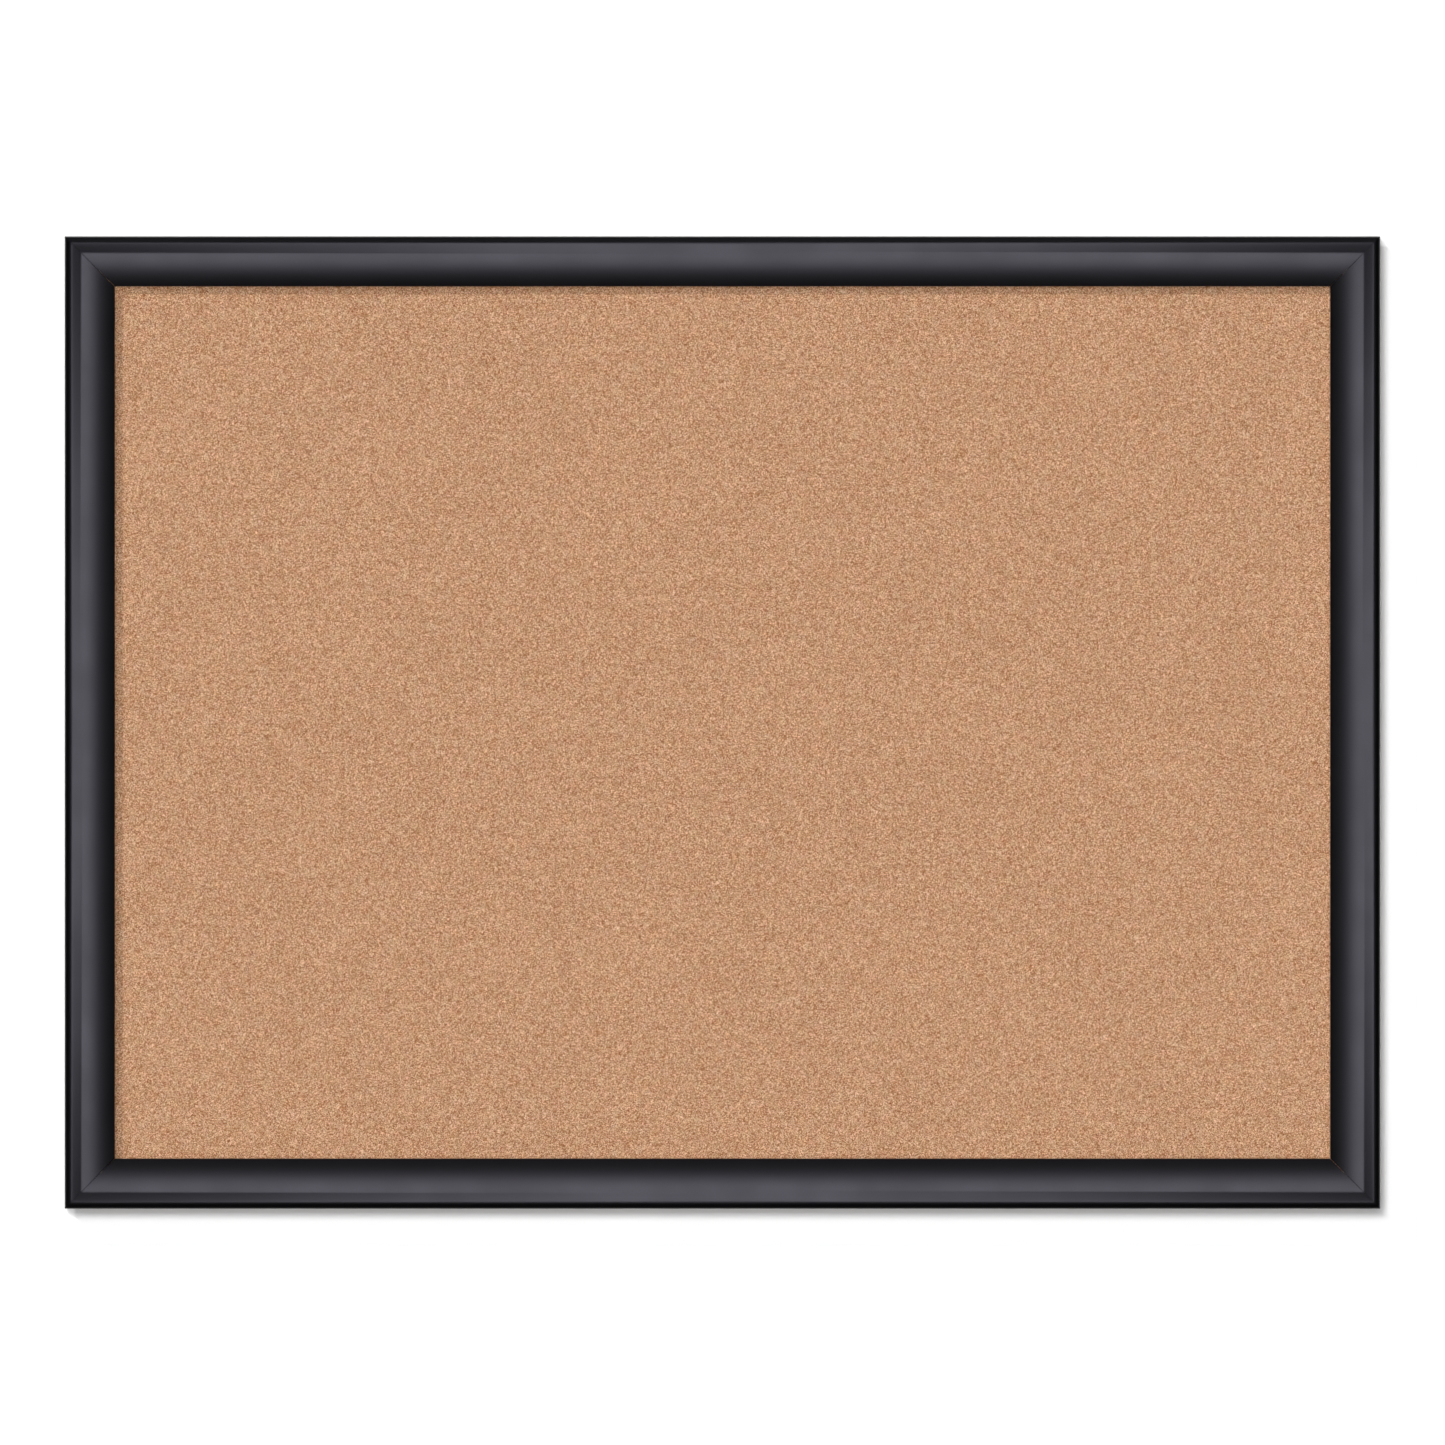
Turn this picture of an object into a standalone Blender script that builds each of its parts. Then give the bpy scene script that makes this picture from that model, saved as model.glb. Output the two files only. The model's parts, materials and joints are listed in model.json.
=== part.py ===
"""Framed cork bulletin board that hangs on a wall from two ring hangers.

Metres, +Z up, the front faces -Y. The origin is the middle of the wall plane, which the four bumpers touch.
A place on the board is given by its depth, counted forwards from the rails' back, and by its inset, counted
inwards from the frame's outer edge. Every name says left and right as someone facing the board sees them.
"""

import math

import bmesh
import bpy
from mathutils import Vector

# Overall size of the frame
BOARD_WIDTH = 0.5842
BOARD_HEIGHT = 0.4318

# Moulding in section. Its face is round at the outer edge, flat to CREST_END and then sweeps down to the lip
RAIL_WIDTH = 0.0222
OUTER_RADIUS = 0.0038
CREST_END = 0.0080
LIP_RADIUS = 0.0009
LIP_SLOPE = math.radians(27)
LIP_EDGE = 0.0034
REBATE_WIDTH = 0.0064

# Panel held in the rebate, front to back
CORK_THICKNESS = 0.0020
CORE_THICKNESS = 0.0040
PAPER_THICKNESS = 0.0005
PANEL_CLEARANCE = 0.0008

# V-shaped corner nails, two across each mitre
NAIL_INSETS = {"outer": 0.0045, "inner": 0.0108}
NAIL_ARM = 0.0052
NAIL_THICKNESS = 0.0006
NAIL_LENGTH = 0.0070
NAIL_SINK = 0.0002

# Flexible points that keep the panel in its rebate
POINT_WIDTH = 0.0065
POINT_REACH = 0.0095
POINT_BITE = 0.0055
POINT_TAPER = 0.0030
POINT_TRIM = 0.0010
POINT_THICKNESS = 0.0006
POINT_SETBACK = 0.0022
POINTS_ON_LONG_RAIL = 3
POINTS_ON_SHORT_RAIL = 2

# Ring hangers on the side rails
HANGER_DROP = 0.0860
SHEET_THICKNESS = 0.0007
STRAP_WIDTH = 0.0080
STRAP_NECK = 0.0045
STRAP_BELOW_SCREW = 0.0055
WIRE_RADIUS = 0.0009
EYE_CLEARANCE = 0.0003
RING_SIDE_CLEARANCE = 0.0010
RING_CORNER_RADIUS = 0.0018
RING_LEG = 0.0035
RING_TO_SCREW = 0.0010

# Pan-head screws of the hangers
SCREW_HEAD_RADIUS = 0.0032
SCREW_HEAD_HEIGHT = 0.0019
SCREW_HEAD_ROUNDING = 0.0012
SCREW_SHANK_RADIUS = 0.00145
SCREW_LENGTH = 0.0125
SCREW_TIP_LENGTH = 0.0025
SCREW_TIP_RADIUS = 0.0003
RECESS_LENGTH = 0.0034
RECESS_WIDTH = 0.0008
RECESS_DEPTH = 0.0011

# Rubber bumpers on the side rails, high enough to keep the hangers off the wall
BUMPER_BASE_RADIUS = 0.0050
BUMPER_TOP_RADIUS = 0.0044
BUMPER_ROUNDING = 0.0006
BUMPER_FROM_END = 0.0300
HANGER_TO_WALL = 0.0002

# Gap between pieces that touch, and how far a cutter reaches past what it cuts
TOUCH_GAP = 0.0003
CUTTER_OVERSHOOT = 0.0010

# Facets of the round shapes
ARC_STEPS = 8
TURNED_SIDES = 24

# The rebate is as deep as the panel, the points and their setback need
PANEL_BACK = POINT_SETBACK + POINT_THICKNESS + TOUCH_GAP
REBATE_DEPTH = PANEL_BACK + PAPER_THICKNESS + CORE_THICKNESS + CORK_THICKNESS + 3 * TOUCH_GAP
REBATE_INSET = RAIL_WIDTH - REBATE_WIDTH

# The face sweeps from the crest to the lip's rounding along one arc
LIP_CENTRE = (RAIL_WIDTH - LIP_RADIUS, REBATE_DEPTH + LIP_EDGE)
SWEEP_END_INSET = LIP_CENTRE[0] + LIP_RADIUS * math.sin(LIP_SLOPE)
SWEEP_END_DEPTH = LIP_CENTRE[1] + LIP_RADIUS * math.cos(LIP_SLOPE)
SWEEP_RADIUS = (SWEEP_END_INSET - CREST_END) / math.sin(LIP_SLOPE)
SWEEP_CENTRE = (CREST_END, SWEEP_END_DEPTH - SWEEP_RADIUS * math.cos(LIP_SLOPE))
RAIL_DEPTH = SWEEP_CENTRE[1] + SWEEP_RADIUS

# Hangers and bumpers stand on the middle of the rails' flat backs, and a ring folds down clear of its screw
BACK_MIDDLE_INSET = REBATE_INSET / 2
EYE_HOLE_RADIUS = WIRE_RADIUS + EYE_CLEARANCE
EYE_RADIUS = EYE_HOLE_RADIUS + SHEET_THICKNESS
RING_HALF_WIDTH = STRAP_WIDTH / 2 + RING_SIDE_CLEARANCE + WIRE_RADIUS
RING_LENGTH = RING_LEG + RING_HALF_WIDTH
RING_LEAN = math.asin((EYE_RADIUS - WIRE_RADIUS) / RING_LENGTH)
STRAP_THICKNESS = 2 * SHEET_THICKNESS
SCREW_DROP = RING_LENGTH + WIRE_RADIUS + RING_TO_SCREW + SCREW_HEAD_RADIUS
STRAP_LENGTH = SCREW_DROP + STRAP_BELOW_SCREW
SCREW_SEAT = 2 * TOUCH_GAP + STRAP_THICKNESS

# Distance from the wall plane to the rails' backs
HANGER_HEIGHT = max(TOUCH_GAP + 2 * EYE_RADIUS, SCREW_SEAT + SCREW_HEAD_HEIGHT)
STANDOFF = HANGER_HEIGHT + HANGER_TO_WALL
BUMPER_HEIGHT = STANDOFF - TOUCH_GAP
PIVOT_Y = -STANDOFF + TOUCH_GAP + EYE_RADIUS

# Each rail: its turn about Y from the top rail, and how far its outer edge and its ends are from the middle
RAILS = {
    "top": (0.0, BOARD_HEIGHT / 2, BOARD_WIDTH / 2),
    "right": (math.pi / 2, BOARD_WIDTH / 2, BOARD_HEIGHT / 2),
    "bottom": (math.pi, BOARD_HEIGHT / 2, BOARD_WIDTH / 2),
    "left": (-math.pi / 2, BOARD_WIDTH / 2, BOARD_HEIGHT / 2),
}

# Each corner: its side along X and along Z, and its turn about Y from the top right corner
CORNERS = {
    "top_right": (1, 1, 0.0),
    "bottom_right": (1, -1, math.pi / 2),
    "bottom_left": (-1, -1, math.pi),
    "top_left": (-1, 1, -math.pi / 2),
}

SIDES = {"left": -1, "right": 1}

# Finishes: colour, roughness, metallic
FINISHES = {
    "black_lacquer": ((0.020, 0.020, 0.022), 0.35, 0.0),
    "cork": ((0.543, 0.305, 0.176), 0.90, 0.0),
    "fibreboard": ((0.230, 0.130, 0.065), 0.85, 0.0),
    "kraft_paper": ((0.450, 0.290, 0.160), 0.80, 0.0),
    "bright_steel": ((0.560, 0.560, 0.550), 0.35, 1.0),
    "nickel_plate": ((0.660, 0.640, 0.600), 0.20, 1.0),
    "black_rubber": ((0.030, 0.030, 0.030), 0.70, 0.0),
}


def depth_y(depth):
    """World Y of a depth counted forwards from the rails' back."""
    return -(STANDOFF + depth)


def arc(centre, radius, start, end, steps=ARC_STEPS):
    """Points on an arc about centre, from the start angle to the end angle."""
    angles = [start + (end - start) * step / steps for step in range(steps + 1)]
    return [(centre[0] + radius * math.cos(a), centre[1] + radius * math.sin(a)) for a in angles]


def finish(name):
    """The material of one finish, made when it is first used."""
    if name in bpy.data.materials:
        return bpy.data.materials[name]
    colour, roughness, metallic = FINISHES[name]
    material = bpy.data.materials.new(name)
    material.use_nodes = True
    shader = material.node_tree.nodes["Principled BSDF"]
    shader.inputs["Base Color"].default_value = (*colour, 1.0)
    shader.inputs["Roughness"].default_value = roughness
    shader.inputs["Metallic"].default_value = metallic
    material.diffuse_color = (*colour, 1.0)
    return material


def link(name, data, material=None, location=(0, 0, 0), turn=0.0):
    """Places data as a named object, turned about Y. Without a material it is a cutter."""
    obj = bpy.data.objects.new(name, data)
    bpy.context.scene.collection.objects.link(obj)
    obj.location = location
    obj.rotation_euler = (0.0, turn, 0.0)
    if material is None:
        obj.hide_render = True
        obj.display_type = "WIRE"
    elif not data.materials:
        data.materials.append(finish(material))
    return obj


def mesh_from(name, build):
    """A mesh with outward faces, filled by build."""
    shape = bmesh.new()
    build(shape)
    bmesh.ops.recalc_face_normals(shape, faces=shape.faces)
    mesh = bpy.data.meshes.new(name)
    shape.to_mesh(mesh)
    shape.free()
    return mesh


def skin_between(shape, first, last):
    """Closes the space between two matching loops of points."""
    near = [shape.verts.new(point) for point in first]
    far = [shape.verts.new(point) for point in last]
    for here in range(len(near)):
        there = (here + 1) % len(near)
        shape.faces.new((near[here], near[there], far[there], far[here]))
    shape.faces.new(near)
    shape.faces.new(far)


def plate(name, outline, back_y, front_y):
    """A plate parallel to the wall: an outline in X and Z between two Y places."""
    first = [(x, back_y, z) for x, z in outline]
    last = [(x, front_y, z) for x, z in outline]
    return mesh_from(name, lambda shape: skin_between(shape, first, last))


def bar(name, outline, width):
    """A bar along X: an outline in Y and Z, width long and centred."""
    first = [(-width / 2, y, z) for y, z in outline]
    last = [(width / 2, y, z) for y, z in outline]
    return mesh_from(name, lambda shape: skin_between(shape, first, last))


def turned(name, profile, sides=TURNED_SIDES):
    """A body turned about Y: profile gives a radius and a Y for each ring, and both ends are capped."""

    def build(shape):
        angles = [2 * math.pi * side / sides for side in range(sides)]
        rings = []
        for radius, y in profile:
            ring = [shape.verts.new((radius * math.cos(a), y, radius * math.sin(a))) for a in angles]
            rings.append(ring)
        for lower, upper in zip(rings, rings[1:]):
            for here in range(sides):
                there = (here + 1) % sides
                shape.faces.new((lower[here], lower[there], upper[there], upper[here]))
        shape.faces.new(rings[0])
        shape.faces.new(rings[-1])

    mesh = mesh_from(name, build)
    mesh.shade_smooth()
    mesh.set_sharp_from_angle(angle=math.radians(35))
    return mesh


def rectangle(half_width, half_height):
    return [
        (-half_width, -half_height),
        (half_width, -half_height),
        (half_width, half_height),
        (-half_width, half_height),
    ]


def cut(obj, cutter, operation="DIFFERENCE"):
    """Shapes an object by a cutter that stays in the file as a wire helper."""
    boolean = obj.modifiers.new(cutter.name, "BOOLEAN")
    boolean.operation = operation
    boolean.solver = "EXACT"
    boolean.object = cutter


def rail_section():
    """The moulding's outline as (inset, depth) points."""
    upright = math.pi / 2
    outer_round = arc((OUTER_RADIUS, RAIL_DEPTH - OUTER_RADIUS), OUTER_RADIUS, math.pi, upright)
    sweep = arc(SWEEP_CENTRE, SWEEP_RADIUS, upright, upright - LIP_SLOPE)
    lip_round = arc(LIP_CENTRE, LIP_RADIUS, upright - LIP_SLOPE, 0.0)
    rebate = [(RAIL_WIDTH, REBATE_DEPTH), (REBATE_INSET, REBATE_DEPTH), (REBATE_INSET, 0.0)]
    return [(0.0, 0.0)] + outer_round + sweep + lip_round[1:] + rebate


def make_rail(side):
    """One mitred length of moulding. It is drawn as the top rail and turned into place."""
    turn, reach, half_length = RAILS[side]
    mitre_cut = TOUCH_GAP / math.sqrt(2)
    ends = []
    for direction in (-1, 1):
        ends.append(
            [
                (direction * (half_length - inset - mitre_cut), depth_y(depth), reach - inset)
                for inset, depth in rail_section()
            ]
        )
    mesh = mesh_from("rail_" + side, lambda shape: skin_between(shape, *ends))
    mesh.shade_smooth()
    mesh.set_sharp_from_angle(angle=math.radians(35))
    return link("rail_" + side, mesh, "black_lacquer", turn=turn)


def nail_outline(clearance=0.0):
    """A V-nail seen from behind, with its point at the origin and its arms along -X and -Z."""
    outside = clearance
    inside = -NAIL_THICKNESS - clearance
    tip = -NAIL_ARM - clearance
    return [
        (outside, outside),
        (outside, tip),
        (inside, tip),
        (inside, inside),
        (tip, inside),
        (tip, outside),
    ]


def make_corner_nails(corner, rails):
    """Two V-nails across one mitre, and their pockets in both rails."""
    side_x, side_z, turn = CORNERS[corner]
    nail_back = depth_y(NAIL_SINK)
    nail_front = depth_y(NAIL_SINK + NAIL_LENGTH)
    for label, inset in NAIL_INSETS.items():
        name = f"corner_nail_{corner}_{label}"
        place = (side_x * (BOARD_WIDTH / 2 - inset), 0.0, side_z * (BOARD_HEIGHT / 2 - inset))
        link(name, plate(name, nail_outline(), nail_back, nail_front), "bright_steel", place, turn)
        pocket = plate("pocket", nail_outline(TOUCH_GAP), depth_y(-CUTTER_OVERSHOOT), nail_front - TOUCH_GAP)
        cutter = link(f"pocket_{corner}_{label}", pocket, None, place, turn)
        for side in corner.split("_"):
            cut(rails[side], cutter)


def panel_layer(name, material, front_depth, thickness):
    half_width = BOARD_WIDTH / 2 - REBATE_INSET - PANEL_CLEARANCE
    half_height = BOARD_HEIGHT / 2 - REBATE_INSET - PANEL_CLEARANCE
    back = depth_y(front_depth - thickness)
    mesh = plate(name, rectangle(half_width, half_height), back, depth_y(front_depth))
    return link(name, mesh, material)


def make_panel():
    """Cork, core and backing paper, one behind the other."""
    layers = (
        ("cork_sheet", "cork", CORK_THICKNESS),
        ("fibreboard_core", "fibreboard", CORE_THICKNESS),
        ("backing_paper", "kraft_paper", PAPER_THICKNESS),
    )
    depth = REBATE_DEPTH
    for name, material, thickness in layers:
        depth -= TOUCH_GAP
        panel_layer(name, material, depth, thickness)
        depth -= thickness


def point_outline(clearance=0.0):
    """A flexible point with its sharp end along +Z; Z is 0 at the rebate's wall."""
    half = POINT_WIDTH / 2 + clearance
    shoulder = POINT_BITE - POINT_TAPER
    heel = -POINT_REACH
    return [
        (-half + POINT_TRIM, heel),
        (half - POINT_TRIM, heel),
        (half, heel + POINT_TRIM),
        (half, shoulder + clearance),
        (0.0, POINT_BITE + clearance),
        (-half, shoulder + clearance),
        (-half, heel + POINT_TRIM),
    ]


def make_retaining_points(side, rail):
    """The points along one rail, and the slots that their sharp ends made in it."""
    turn, reach, half_length = RAILS[side]
    count = POINTS_ON_LONG_RAIL if side in ("top", "bottom") else POINTS_ON_SHORT_RAIL
    outwards = Vector((math.sin(turn), 0.0, math.cos(turn)))
    along = Vector((math.cos(turn), 0.0, -math.sin(turn)))
    back = depth_y(POINT_SETBACK)
    front = depth_y(POINT_SETBACK + POINT_THICKNESS)
    for number in range(count):
        offset = (number - (count - 1) / 2) * 2 * half_length / count
        place = outwards * (reach - REBATE_INSET) + along * offset
        name = f"retaining_point_{side}_{number + 1}"
        link(name, plate(name, point_outline(), back, front), "bright_steel", place, turn)
        slot = plate("slot", point_outline(TOUCH_GAP), back + TOUCH_GAP, front - TOUCH_GAP)
        cut(rail, link(f"slot_{side}_{number + 1}", slot, None, place, turn))


def strap_outline():
    """The folded strap in Y and Z, with the middle of its eye at the origin and the rail at -Y."""
    rail_side = -EYE_RADIUS
    wall_side = rail_side + STRAP_THICKNESS
    neck = Vector((wall_side, -STRAP_NECK))
    leave = math.atan2(neck.y, neck.x) + math.acos(EYE_RADIUS / neck.length)
    eye = arc((0.0, 0.0), EYE_RADIUS, math.pi, leave, 2 * ARC_STEPS)
    return [(rail_side, -STRAP_LENGTH)] + eye + [tuple(neck), (wall_side, -STRAP_LENGTH)]


def make_strap(name, place):
    """A strap folded over the ring's wire, with one screw hole and a round lower end."""
    strap = link(name, bar(name, strap_outline(), STRAP_WIDTH), "nickel_plate", place)
    half = STRAP_WIDTH / 2
    beside = half + CUTTER_OVERSHOOT
    beyond = EYE_RADIUS + CUTTER_OVERSHOOT
    round_end = arc((0.0, half - STRAP_LENGTH), half, -math.pi, 0.0, 2 * ARC_STEPS)
    shoulder = half - STRAP_LENGTH
    upper = [(beside, shoulder), (beside, beyond), (-beside, beyond), (-beside, shoulder)]
    envelope = plate("envelope", round_end + upper, beyond, -beyond)
    cut(strap, link("envelope_of_" + name, envelope, None, place), "INTERSECT")
    eye = bar("eye", arc((0.0, 0.0), EYE_HOLE_RADIUS, 0.0, 2 * math.pi, TURNED_SIDES)[:-1], 2 * beside)
    cut(strap, link("eye_of_" + name, eye, None, place))
    hole_radius = SCREW_SHANK_RADIUS + TOUCH_GAP
    hole = turned("hole", [(hole_radius, -beyond), (hole_radius, beyond)])
    hole_place = Vector(place) - Vector((0.0, 0.0, SCREW_DROP))
    cut(strap, link("hole_of_" + name, hole, None, hole_place))


def ring_path():
    """The ring's centre line in X and Z, with the middle of its straight bar at the origin."""
    half = RING_HALF_WIDTH
    corner = RING_CORNER_RADIUS
    straight = half - corner
    right_corner = arc((straight, corner), corner, -math.pi / 2, 0.0, ARC_STEPS // 2)
    arch = arc((0.0, RING_LEG), half, 0.0, math.pi, 2 * ARC_STEPS)
    left_corner = arc((-straight, corner), corner, math.pi, 1.5 * math.pi, ARC_STEPS // 2)
    return right_corner + arch + left_corner


def make_ring(name, place):
    """The D-shaped wire ring. Its origin is on its hinge, and it leans on the rail."""
    curve = bpy.data.curves.new(name, "CURVE")
    curve.dimensions = "3D"
    curve.bevel_depth = WIRE_RADIUS
    curve.bevel_resolution = 3
    path = ring_path()
    spline = curve.splines.new("POLY")
    spline.points.add(len(path) - 1)
    for point, (x, z) in zip(spline.points, path):
        point.co = (x, 0.0, z, 1.0)
    spline.use_cyclic_u = True
    spline.use_smooth = True
    ring = link(name, curve, "nickel_plate", place)
    ring.rotation_euler = (RING_LEAN, 0.0, 0.0)


def screw_profile():
    """Radius and Y from the head's top to the tip; Y is 0 under the head."""
    rounding_centre = (SCREW_HEAD_RADIUS - SCREW_HEAD_ROUNDING, SCREW_HEAD_HEIGHT - SCREW_HEAD_ROUNDING)
    head = arc(rounding_centre, SCREW_HEAD_ROUNDING, math.pi / 2, 0.0, ARC_STEPS // 2)
    under_head = [(SCREW_HEAD_RADIUS, 0.0), (SCREW_SHANK_RADIUS, 0.0)]
    point = [(SCREW_SHANK_RADIUS, SCREW_TIP_LENGTH - SCREW_LENGTH), (SCREW_TIP_RADIUS, -SCREW_LENGTH)]
    return head + under_head + point


def cross_outline():
    """The screw's cross recess seen from above."""
    long = RECESS_LENGTH / 2
    short = RECESS_WIDTH / 2
    quarter = [(long, -short), (long, short), (short, short)]
    outline = []
    for _ in range(4):
        outline += quarter
        quarter = [(-z, x) for x, z in quarter]
    return outline


def make_screw(name, place, rail):
    """A pan-head screw through the strap into the rail, and its pilot hole."""
    under_head = Vector((place[0], -STANDOFF + SCREW_SEAT, place[2] - SCREW_DROP))
    screw = link(name, turned(name, screw_profile()), "bright_steel", under_head)
    top = SCREW_HEAD_HEIGHT
    recess = plate("recess", cross_outline(), top + CUTTER_OVERSHOOT, top - RECESS_DEPTH)
    cut(screw, link("recess_of_" + name, recess, None, under_head))
    bore_radius = SCREW_SHANK_RADIUS + TOUCH_GAP
    bore_end = under_head.y - SCREW_LENGTH - TOUCH_GAP
    bore = turned("bore", [(bore_radius, -STANDOFF + CUTTER_OVERSHOOT), (bore_radius, bore_end)])
    cut(rail, link("bore_of_" + name, bore, None, (under_head.x, 0.0, under_head.z)))


def make_hanger(side, rail):
    """One ring hanger on a side rail."""
    place = (SIDES[side] * (BOARD_WIDTH / 2 - BACK_MIDDLE_INSET), PIVOT_Y, BOARD_HEIGHT / 2 - HANGER_DROP)
    make_strap("hanger_strap_" + side, place)
    make_ring("hanger_ring_" + side, place)
    make_screw("hanger_screw_" + side, place, rail)


def make_bumper(corner):
    """A rubber bumper whose flat end touches the wall."""
    side_x, side_z, _ = CORNERS[corner]
    rounding_centre = (BUMPER_TOP_RADIUS - BUMPER_ROUNDING, -BUMPER_ROUNDING)
    rounding = arc(rounding_centre, BUMPER_ROUNDING, math.pi / 2, 0.0, ARC_STEPS // 2)
    profile = rounding + [(BUMPER_BASE_RADIUS, -BUMPER_HEIGHT)]
    x = side_x * (BOARD_WIDTH / 2 - BACK_MIDDLE_INSET)
    z = side_z * (BOARD_HEIGHT / 2 - BUMPER_FROM_END)
    link("bumper_" + corner, turned("bumper", profile), "black_rubber", (x, 0.0, z))


def main():
    for obj in list(bpy.data.objects):
        bpy.data.objects.remove(obj, do_unlink=True)
    rails = {side: make_rail(side) for side in RAILS}
    make_panel()
    for corner in CORNERS:
        make_corner_nails(corner, rails)
        make_bumper(corner)
    for side, rail in rails.items():
        make_retaining_points(side, rail)
    for side in SIDES:
        make_hanger(side, rails[side])


main()
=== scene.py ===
"""A framed cork bulletin board with ring hangers, finished for close looking, on a plain wall.

Metres. The board hangs upright with its front towards -Y, and the wall plane is y = 0. An inset is counted
inwards from the frame's outer edge. Left and right are as someone facing the board sees them.
"""

import json
import math

import bmesh
import bpy
from mathutils import Matrix, Vector

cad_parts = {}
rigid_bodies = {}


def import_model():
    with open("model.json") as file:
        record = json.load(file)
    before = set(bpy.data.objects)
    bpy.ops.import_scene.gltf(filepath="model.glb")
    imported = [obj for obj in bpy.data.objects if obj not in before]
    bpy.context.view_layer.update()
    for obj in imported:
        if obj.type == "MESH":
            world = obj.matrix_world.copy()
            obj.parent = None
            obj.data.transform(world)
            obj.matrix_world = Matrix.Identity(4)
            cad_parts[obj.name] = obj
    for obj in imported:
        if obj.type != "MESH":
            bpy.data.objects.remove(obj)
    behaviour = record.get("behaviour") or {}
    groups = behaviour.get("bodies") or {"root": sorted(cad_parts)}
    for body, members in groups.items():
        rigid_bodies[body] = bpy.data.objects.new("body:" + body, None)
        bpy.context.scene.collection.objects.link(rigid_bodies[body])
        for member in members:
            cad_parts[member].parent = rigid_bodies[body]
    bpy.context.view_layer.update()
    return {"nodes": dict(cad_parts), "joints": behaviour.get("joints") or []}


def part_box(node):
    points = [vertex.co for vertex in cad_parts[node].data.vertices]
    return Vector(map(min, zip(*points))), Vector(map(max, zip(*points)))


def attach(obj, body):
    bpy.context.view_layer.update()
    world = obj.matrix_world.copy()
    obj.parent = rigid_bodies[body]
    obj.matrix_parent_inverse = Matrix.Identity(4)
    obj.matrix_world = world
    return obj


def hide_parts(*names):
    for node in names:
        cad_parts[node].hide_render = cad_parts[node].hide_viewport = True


bl_info = {
    "name": "Cork Bulletin Board",
    "version": (1, 0, 0),
    "blender": (4, 5, 0),
    "location": "View3D > Sidebar > Board",
    "description": "Builds the moulding, cork, backing and hanging hardware of a framed cork board",
    "category": "Object",
}

for startup in list(bpy.data.objects):
    bpy.data.objects.remove(startup)
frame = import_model()

TOP_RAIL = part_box("rail_top")
SIDE_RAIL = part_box("rail_right")
CORK_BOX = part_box("cork_sheet")
PAPER_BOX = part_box("backing_paper")
POINT_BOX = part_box("retaining_point_top_1")
BUMPER_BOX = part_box("bumper_top_right")
STRAP_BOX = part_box("hanger_strap_right")
PIVOTS = {joint["child"]: Vector(joint["pos_m"]) for joint in frame["joints"]}
PIVOT = PIVOTS["ring_right"]

HALF_WIDTH = SIDE_RAIL[1].x
HALF_HEIGHT = TOP_RAIL[1].z
FRONT_Y = TOP_RAIL[0].y
# The rails are drawn nearly up to the bumpers' bases, over the gap that the CAD leaves there
SEATING = 0.00025
BACK_Y = TOP_RAIL[1].y + SEATING
UPRIGHT = math.pi / 2
CORNER_TURNS = (0.0, 0.5 * math.pi, math.pi, 1.5 * math.pi)
SIDES = ("top", "right", "bottom", "left")
CREASE = 0.6
RUN_INPUTS = {"Start": "Vector", "End": "Vector", "Count": "Int", "Turn": "Float"}


# ---- settings

def length(name, description, default):
    """A length property in metres."""
    return bpy.props.FloatProperty(
        name=name, description=description, default=default, min=0.0, precision=5,
        unit="LENGTH", subtype="DISTANCE",
    )


def colour(name, description, default):
    """A linear colour property."""
    return bpy.props.FloatVectorProperty(
        name=name, description=description, default=default, min=0.0, max=1.0, size=3, subtype="COLOR",
    )


def amount(name, description, default, **limits):
    """A plain number property."""
    return bpy.props.FloatProperty(name=name, description=description, default=default, min=0.0, **limits)


class BoardMouldingSettings(bpy.types.PropertyGroup):
    rail_width: length("Rail Width", "Width of the moulding seen from the front", HALF_HEIGHT - TOP_RAIL[0].z)
    outer_radius: length("Outer Rounding", "Radius of the rounded outer edge of the face", 0.0038)
    crest_end: length("Crest End", "Inset where the flat crest ends", 0.0080)
    lip_radius: length("Lip Rounding", "Radius at the foot of the sweep, over the cork", 0.0005)
    lip_slope: amount("Lip Slope", "Slope at the foot of the sweep", math.radians(27), subtype="ANGLE")
    lip_edge: length("Lip Edge", "Height of the upright edge over the cork", 0.0037)
    rebate_width: length("Rebate Width", "Width of the rebate under the lip", 0.0064)
    rebate_depth: length("Rebate Depth", "Depth of the rebate from the back of the rail", 0.0105)
    mitre_gap: length("Mitre Gap", "Width of the joint line at a corner", 0.00004)
    arris: length("Mitre Arris", "Softened edge of each mitre", 0.00012)
    wrap: length("Foil Wrap", "How far the black finish turns onto the back", 0.0026)
    black: colour("Black", "Colour of the satin black finish", (0.0022, 0.0022, 0.0023))
    raw: colour("Raw Board", "Colour of the bare fibreboard behind the finish", (0.29, 0.195, 0.125))
    roughness: amount("Roughness", "Roughness of the satin black finish", 0.41, max=1.0)


class BoardCorkSettings(bpy.types.PropertyGroup):
    cell: length("Mesh Cell", "Cell of the relief's mesh", 0.00175)
    relief: length("Relief", "Height of the pressed surface's unevenness", 0.00016)
    granule: length("Granule", "Size of a cork granule", 0.00034)
    middle: colour("Cork", "Colour of most of the cork", (0.533, 0.286, 0.155))
    contrast: amount("Contrast", "Distance of the extreme tones from the middle one", 0.27, max=1.0)
    grain: amount("Grain", "Strength of the relief in the shading", 0.15, max=1.0)


class BoardBackingSettings(bpy.types.PropertyGroup):
    cell: length("Mesh Cell", "Cell of the paper's mesh", 0.0040)
    wave: length("Paper Wave", "Height of the slow waves in the backing paper", 0.00022)
    kraft: colour("Kraft Paper", "Colour of the backing paper", (0.45, 0.29, 0.16))
    fibreboard: colour("Fibreboard", "Colour of the fibreboard core", (0.23, 0.13, 0.065))


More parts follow.
